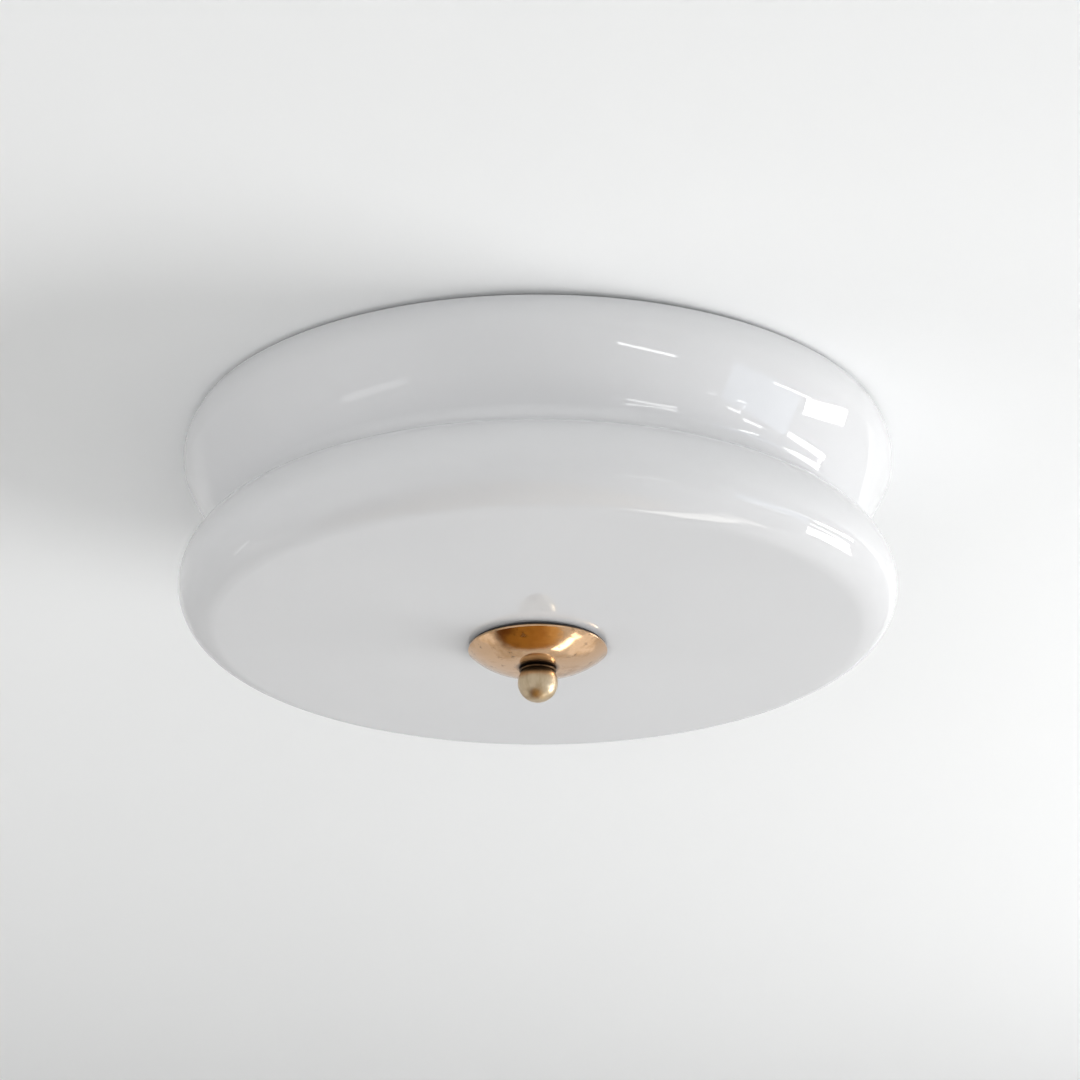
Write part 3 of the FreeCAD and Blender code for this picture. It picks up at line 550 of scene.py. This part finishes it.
def makeCaps():
    # the cap's wall follows the rolled thread inside and out, and lies along X at the height of its box
    shape = capShape
    for number, side in ((1, 1), (2, -1)):
        node = f"bulb_{number}_cap"
        low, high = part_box(node)
        height = (low.z + high.z) / 2
        start, end = sorted((abs(low.x), abs(high.x)))
        radius = high.y
        bendCentre = (radius - shape["bend"], start + shape["bend"])
        bend = arcPoints(bendCentre, shape["bend"], -90, shape["bendEnd"], shape["bendSteps"])
        lip = np.vstack([[(radius - shape["sheet"] - shape["lip"], start)], bend])
        wall = threadPoints(bendCentre[1], end, radius, capThread)[1:-1]
        outside = np.vstack([turnedPoints(lip, capThread["segments"]), wall])
        inside = pulledIn(outside, shape["sheet"])
        inside[:2, :, 2] += shape["sheet"]
        walls = np.vstack([outside, inside[::-1]])
        points = np.stack([side * walls[..., 2], side * walls[..., 1], height - walls[..., 0]], -1)
        piece = gridPiece(f"threadedCap{number}", [points], closed=True, smoothAngle=45)
        install(piece, rolledMetal(f"capMetal{number}", **capLook), node)


connectorShape = {"mouth": 5.95 * mm, "tip": 3.7 * mm, "tipRound": 0.6 * mm, "roundFrom": 0.92,
                  "plain": 3.0 * mm, "ribs": 16, "rib": 0.5 * mm, "bore": 3.6 * mm, "socket": 10.0 * mm,
                  "steps": 30, "segments": 128}
connectorLook = {"colour": (0.80, 0.28, 0.05), "roughness": 0.38}


def mouldedPlastic(name, colour, roughness, grain=500.0):
    look = Finish(name, {})
    cloud = look.noise(grain)
    dark = tuple(channel * 0.88 for channel in colour)
    light = tuple(min(1.0, channel * 1.10) for channel in colour)
    look.drive("Base Color", look.mottle(cloud, dark, light))
    look.drive("Roughness", roughness + cloud * 0.12)
    look.bump(cloud, distance=0.06 * mm, strength=0.5)
    return look.material


def makeConnectors():
    # a cone along Y: past a plain band at its mouth the radius loses rib * (1 - |cos(ribs * angle / 2)|)
    shape = connectorShape
    for node, side in (("live_connector", 1), ("neutral_connector", -1)):
        low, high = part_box(node)
        height = (low.z + high.z) / 2
        mouthAt, tipAt = sorted((abs(low.y), abs(high.y)))
        along = np.linspace(0, 1, shape["steps"])
        rounding = np.clip((along - shape["roundFrom"]) / (1 - shape["roundFrom"]), 0, 1) ** 2
        radius = shape["mouth"] + (shape["tip"] - shape["mouth"]) * along - shape["tipRound"] * rounding
        wall = np.stack([radius, mouthAt + along * (tipAt - mouthAt)], -1)
        socket = mouthAt + shape["socket"]
        bore = [(0, socket), (shape["bore"], socket), (shape["bore"], mouthAt)]
        profile = np.vstack([bore, wall, [(0, tipAt)]])
        ribbed = (profile[:, :1] > shape["bore"]) & (profile[:, 1:] > mouthAt + shape["plain"])
        groove = 1 - np.abs(np.cos(anglesRound(shape["segments"]) * shape["ribs"] / 2))
        turned = pulledIn(turnedPoints(profile, shape["segments"]), ribbed * shape["rib"] * groove)
        points = np.stack([side * turned[..., 0], side * turned[..., 2], height - turned[..., 1]], -1)
        piece = gridPiece(node + "_ribbed", [points], closed=False, smoothAngle=40)
        install(piece, mouldedPlastic(node + "Plastic", **connectorLook), node)


enamelLook = {"colours": ((0.82, 0.82, 0.80), (0.86, 0.86, 0.85)), "roughness": 0.30}
porcelainLook = {"colours": ((0.84, 0.82, 0.77), (0.89, 0.88, 0.84)), "speck": (0.45, 0.38, 0.30),
                 "roughness": 0.10}
globeLook = {"colours": ((0.86, 0.86, 0.84), (0.90, 0.90, 0.89)), "roughness": 0.30}


def enamelPaint():
    look = Finish("whiteEnamel", {"Coat Weight": 0.4, "Coat Roughness": 0.12})
    look.drive("Base Color", look.mottle(look.noise(9.0), *enamelLook["colours"]))
    look.drive("Roughness", enamelLook["roughness"] + look.noise(60.0) * 0.06)
    # the slight orange peel of stoved paint
    look.bump(look.noise(320.0, detail=1.0), distance=0.04 * mm, strength=0.25)
    return look.material


def porcelainGlaze():
    look = Finish("porcelainGlaze", {"IOR": 1.54, "Coat Weight": 0.6, "Coat Roughness": 0.04})
    specks = look.mask(look.noise(1500.0, detail=2.0), 0.72, 0.76)
    body = look.mottle(look.noise(30.0), *porcelainLook["colours"])
    look.drive("Base Color", look.blend(specks * 0.35, body, porcelainLook["speck"]))
    look.drive("Roughness", porcelainLook["roughness"] + specks * 0.2)
    look.bump(look.noise(180.0, detail=2.0), distance=0.10 * mm, strength=0.4)
    return look.material


def frostedGlass():
    look = Finish("frostedGlass", {"IOR": 1.5})
    look.drive("Base Color", look.mottle(look.noise(40.0), *globeLook["colours"]))
    look.drive("Roughness", globeLook["roughness"] + look.noise(140.0) * 0.10)
    look.bump(look.noise(1600.0, detail=2.0), distance=0.03 * mm, strength=0.3)
    return look.material


def dressNodes():
    looks = {
        "white_enamel": enamelPaint(),
        "zinc_steel": zincPlate(),
        "porcelain": porcelainGlaze(),
        "copper_shell": rolledMetal("copperShell", (0.80, 0.52, 0.32), (0.55, 0.32, 0.18), 0.20),
        "contact_brass": rolledMetal("contactBrass", (0.82, 0.62, 0.32), (0.60, 0.42, 0.20), 0.22),
        "bulb_glass": frostedGlass(),
        "black_glass": mouldedPlastic("blackGlass", (0.02, 0.02, 0.025), 0.08, grain=90.0),
        "black_lead": mouldedPlastic("blackLead", (0.02, 0.02, 0.02), 0.40),
        "white_lead": mouldedPlastic("whiteLead", (0.80, 0.79, 0.75), 0.40),
        "bushing_plastic": mouldedPlastic("bushingPlastic", (0.03, 0.03, 0.03), 0.45),
        "gasket_rubber": mouldedPlastic("gasketRubber", (0.05, 0.05, 0.05), 0.65),
        "earth_green": mouldedPlastic("earthGreen", (0.04, 0.30, 0.10), 0.25),
        "satin_brass": satinBrass(),
    }
    for node in sorted(set(slotOf) - dressed):
        smoothCopy(node, looks[slotOf[node]])


backdropColour = (0.600, 0.606, 0.612)
# two planes, seen from below and from above; each turns to the backdrop's colour between two distances
stageLook = {
    "ceilingPlane": {"height": 0.5 * mm, "facing": -1, "colour": (0.900, 0.908, 0.912),
                     "pale": (1.7, 3.2)},
    "floorPlane": {"height": -2.4, "facing": 1, "colour": (0.74, 0.73, 0.71), "pale": (-0.1, 0.0)}}
stageShape = {"reach": 6.0, "grain": 1.3, "mottle": 0.985}
darkFloor = {"corners": ((-1.9, -1.9), (0.95, 1.35)), "height": -2.1, "grain": 2.2, "blotch": 0.5,
             "edge": (0.80, 1.0), "fray": 0.45,
             "stops": ((0.22, (0.13, 0.05, 0.006)), (0.48, (0.36, 0.19, 0.035)),
                       (0.72, (0.42, 0.22, 0.05)), (0.92, (0.64, 0.43, 0.17)))}


def oneSided(name, colour, pale):
    # seen and lit from its front face only, and further out it is the pale backdrop, which lights nothing
    look = Finish(name, {"Roughness": 0.9, "Specular IOR Level": 0.0})
    dark = tuple(channel * stageShape["mottle"] for channel in colour)
    cloud = look.noise(stageShape["grain"], detail=4.0)
    look.drive("Base Color", look.mottle(cloud, dark, colour))
    sockets = {"Value": look.across(), "From Min": pale[0], "From Max": pale[1]}
    far = look.add("ShaderNodeMapRange", {"clamp": True}, sockets)
    lit = Wire(look, look.shader.outputs[0])
    backdrop = look.glow("ShaderNodeEmission", backdropColour, 1.0)
    front = look.mixShaders(far * look.showsBackdrop(), lit, backdrop)
    behind = look.add("ShaderNodeNewGeometry", output="Backfacing")
    surface = look.mixShaders(behind, front, look.add("ShaderNodeBsdfTransparent"))
    look.feed(look.tree.nodes["Material Output"].inputs["Surface"], surface)
    look.material.cycles.emission_sampling = "NONE"  # the backdrop is seen, and isn't a lamp
    return look.material


def darkFloorLook():
    # brown to tan across the plane, blotched, with an oval frayed edge
    plane = darkFloor
    low, high = (np.array([*corner, plane["height"]]) for corner in plane["corners"])
    half = (high - low) / 2 + (0, 0, 1)  # the 1 keeps the plane's missing height from dividing by zero
    look = Finish("darkFloorLook", {"Roughness": 0.9, "Specular IOR Level": 0.2})
    shifted = look.vector("SUBTRACT", look.place(), tuple((low + high) / 2))
    spread = look.vector("DIVIDE", shifted, tuple(half))
    out = look.vector("LENGTH", spread, output="Value")
    along = look.add("ShaderNodeSeparateXYZ", None, {0: spread}, "X")
    cloud = look.noise(plane["grain"], roughness=0.55) - 0.5
    look.drive("Base Color", look.ramp(along * 0.5 + 0.5 + cloud * plane["blotch"], *plane["stops"]))
    look.drive("Alpha", look.mask(out + cloud * plane["fray"], *plane["edge"], low=1.0, high=0.0))
    return look.material


def stagePlane(name, low, high, height, facing, look):
    corners = [(low[0], low[1], height), (high[0], low[1], height),
               (high[0], high[1], height), (low[0], high[1], height)]
    mesh = bpy.data.meshes.new(name)
    mesh.from_pydata(corners, [], [(0, 1, 2, 3) if facing > 0 else (3, 2, 1, 0)])
    mesh.materials.append(look)
    plane = bpy.data.objects.new(name, mesh)
    bpy.context.scene.collection.objects.link(plane)
    plane.visible_shadow = False
    return plane


def makeStage():
    reach = stageShape["reach"]
    for name, side in stageLook.items():
        look = oneSided(name + "Look", side["colour"], side["pale"])
        stagePlane(name, (-reach, -reach), (reach, reach), side["height"], side["facing"], look)
    # a dark floor that only shiny surfaces see, for the brown band in the dish
    dark = stagePlane("darkFloor", *darkFloor["corners"], darkFloor["height"], 1, darkFloorLook())
    dark.visible_camera = False
    dark.visible_diffuse = False


# each lamp is a panel that faces a point on the light, "at", or the camera's aim. "towards" is its
# direction from there, in degrees round from +X and up. "away" and "size" are in metres, and "roll" turns
# the panel. "shine" is seen only in shiny surfaces, and "fill" only lights
lampLook = {
    "skyFill": {"towards": (12, -23), "away": 1.9, "size": (1.3, 1.2), "radiance": 6.2, "kind": "fill"},
    "floorGlow": {"towards": (0, -90), "away": 2.2, "size": (4.6, 4.6), "radiance": 0.06, "kind": "fill"},
    "roomFill": {"towards": (-98, -22), "away": 2.8, "size": (2.4, 1.5), "radiance": 2.1, "kind": "fill"},
    "farFill": {"towards": (42, -24), "away": 2.2, "size": (1.4, 1.2), "radiance": 0.8, "kind": "fill"},
    "leftFill": {"towards": (170, -28), "away": 2.4, "size": (1.6, 1.4), "radiance": 1.3, "kind": "fill"},
    "window": {"at": (0.134, -0.102, -0.030), "towards": (14.5, -11), "away": 2.4, "size": (0.84, 0.13),
               "roll": 29, "radiance": 20.0, "kind": "shine"},
    "windowHead": {"at": (0.107, -0.131, -0.027), "towards": (-1.0, -16.2), "away": 2.4,
                   "size": (0.66, 0.014), "roll": 20, "radiance": 12.0, "kind": "shine"},
    "windowFoot": {"at": (0.125, -0.100, -0.043), "towards": (15.6, -18.6), "away": 2.4,
                   "size": (0.84, 0.05), "roll": 25, "radiance": 14.0, "kind": "shine"},
    "footEnd": {"at": (0.098, -0.125, -0.044), "towards": (-7.5, -29), "away": 2.3, "size": (0.30, 0.022),
                "roll": 20, "radiance": 9.0, "kind": "shine"},
    "lowPane": {"at": (0.134, -0.104, -0.093), "towards": (21.5, -25), "away": 2.3, "size": (0.80, 0.46),
                "roll": 45, "radiance": 11.0, "kind": "shine"},
    "bluePane": {"at": (0.100, -0.127, -0.040), "towards": (-10, -23), "away": 2.5, "size": (1.2, 0.42),
                 "roll": 14, "radiance": 1.5, "kind": "shine", "colour": (0.66, 0.80, 1.0)},
    "markTop": {"at": (0.095, -0.134, -0.038), "towards": (-15.6, -27.4), "away": 2.3,
                "size": (0.13, 0.016), "roll": 24, "radiance": 8.0, "kind": "shine"},
    "markSide": {"at": (0.091, -0.134, -0.040), "towards": (-14.0, -28.6), "away": 2.3,
                 "size": (0.02, 0.11), "roll": -20, "radiance": 6.0, "kind": "shine"},
    "markFoot": {"at": (0.090, -0.134, -0.041), "towards": (-16.4, -30.4), "away": 2.3,
                 "size": (0.20, 0.020), "roll": 14, "radiance": 9.0, "kind": "shine"},
    "markLeft": {"at": (0.079, -0.143, -0.037), "towards": (-27, -30.8), "away": 2.3,
                 "size": (0.14, 0.014), "roll": 24, "radiance": 5.0, "kind": "shine"},
    "sillLine": {"at": (0.050, -0.164, -0.057), "towards": (-54, -27.6), "away": 2.2,
                 "size": (0.72, 0.022), "roll": 4, "radiance": 10.0, "kind": "shine"},
    "lowLine": {"at": (0.049, -0.150, -0.046), "towards": (-45, -41.0), "away": 2.2,
                "size": (0.60, 0.020), "roll": 14, "radiance": 7.0, "kind": "shine"},
    "sunPatch": {"at": (0.069, -0.147, -0.100), "towards": (56, -58), "away": 2.5, "size": (1.1, 0.30),
                 "roll": 12, "radiance": 3.2, "kind": "shine", "colour": (1.0, 0.97, 0.90)},
    "leftRoom": {"at": (-0.11, -0.12, -0.035), "towards": (-148, -32), "away": 2.2, "size": (0.9, 0.08),
                 "roll": -12, "radiance": 1.3, "kind": "shine"},
    "farLeft": {"at": (-0.13, -0.11, -0.095), "towards": (150, -29), "away": 2.3, "size": (0.45, 0.07),
                "radiance": 1.8, "kind": "shine"},
    "floorPatch": {"at": (0.0, 0.0, -0.115), "towards": (20, -55), "away": 2.3, "size": (0.50, 0.26),
                   "roll": 35, "radiance": 1.9, "kind": "shine", "colour": (1.0, 0.97, 0.90)},
    "floorGlare": {"at": (0.0, 0.0, -0.115), "towards": (44, -43), "away": 2.3, "size": (1.35, 0.95),
                   "roll": 20, "radiance": 0.32, "kind": "shine"},
    "leftWall": {"at": (0.0, 0.0, -0.115), "towards": (147, -40), "away": 2.3, "size": (0.62, 0.60),
                 "radiance": 0.25, "kind": "shine"},
    "farWall": {"at": (0.0, 0.0, -0.115), "towards": (86, -27), "away": 2.3, "size": (2.5, 1.35),
                "radiance": 0.03, "kind": "shine"},
    "panLight": {"at": (0.0, 0.0, 0.0), "towards": (0, 90), "away": 0.6, "size": (0.10, 0.10),
                 "radiance": 4.8, "kind": "fill", "spread": 28.0}}


def makeLights():
    for name, look in lampLook.items():
        lamp = bpy.data.lights.new(name, "AREA")
        lamp.shape = "RECTANGLE"
        lamp.size, lamp.size_y = look["size"]
        lamp.energy = look["radiance"] * np.pi * lamp.size * lamp.size_y
        lamp.color = look.get("colour", (1.0, 1.0, 1.0))
        lamp.spread = np.radians(look.get("spread", 180.0))
        holder = bpy.data.objects.new(name, lamp)
        bpy.context.scene.collection.objects.link(holder)
        turn, lift = np.radians(look["towards"])
        away = Vector((np.cos(lift) * np.cos(turn), np.cos(lift) * np.sin(turn), np.sin(lift)))
        holder.location = Vector(look.get("at", cameraLook["aim"])) + away * look["away"]
        facing = away.to_track_quat("Z", "Y") @ Quaternion((0, 0, 1), np.radians(look.get("roll", 0)))
        holder.rotation_euler = facing.to_euler()
        holder.visible_camera = False
        holder.visible_glossy = look["kind"] == "shine"
        holder.visible_diffuse = look["kind"] == "fill"


worldLook = {"colour": (0.92, 0.93, 0.95), "strength": 0.42}


def makeWorld():
    world = bpy.data.worlds.new("paleRoom")
    bpy.context.scene.world = world
    world.use_nodes = True
    writer = NodeWriter(world.node_tree)
    background = world.node_tree.nodes["Background"]
    background.inputs["Color"].default_value = (*worldLook["colour"], 1)
    background.inputs["Strength"].default_value = worldLook["strength"]
    plain = writer.glow("ShaderNodeBackground", backdropColour, 1.0)
    surface = writer.mixShaders(writer.showsBackdrop(), Wire(writer, background.outputs[0]), plain)
    writer.feed(world.node_tree.nodes["World Output"].inputs["Surface"], surface)


cameraLook = {"aim": (0, 0, -0.060), "distance": 1.699, "elevation": 22.4, "focalPixels": 3465.0,
              "aimPixel": (537.8, 559.2), "frameSize": 1080.0, "sensorWidth": 36.0}


def makeCamera():
    look = cameraLook
    lens = bpy.data.cameras.new("photographView")
    camera = bpy.data.objects.new("photographView", lens)
    bpy.context.scene.collection.objects.link(camera)
    lift = np.radians(look["elevation"])
    x, y, z = look["aim"]
    camera.location = (x, y - look["distance"] * np.cos(lift), z - look["distance"] * np.sin(lift))
    camera.rotation_euler = (np.pi / 2 + lift, 0, 0)
    lens.sensor_width = look["sensorWidth"]
    lens.lens = look["focalPixels"] / look["frameSize"] * look["sensorWidth"]
    middle = look["frameSize"] / 2
    lens.shift_x = (middle - look["aimPixel"][0]) / look["frameSize"]
    lens.shift_y = (look["aimPixel"][1] - middle) / look["frameSize"]
    bpy.context.scene.camera = camera


bpy.context.scene.view_settings.view_transform = "Standard"
makeShade()
print("glass shade made")
makeDish()
makeCollar()
makeBall()
print("dish, collar and ball made")
makeRod()
makePanScrews()
makePanNuts()
makeCaps()
makeConnectors()
print("threads, cap nuts, bulb caps and connectors made")
dressNodes()
print("other pieces smoothed and dressed")
makeStage()
makeLights()
makeWorld()
makeCamera()
print("stage, lights and camera set")
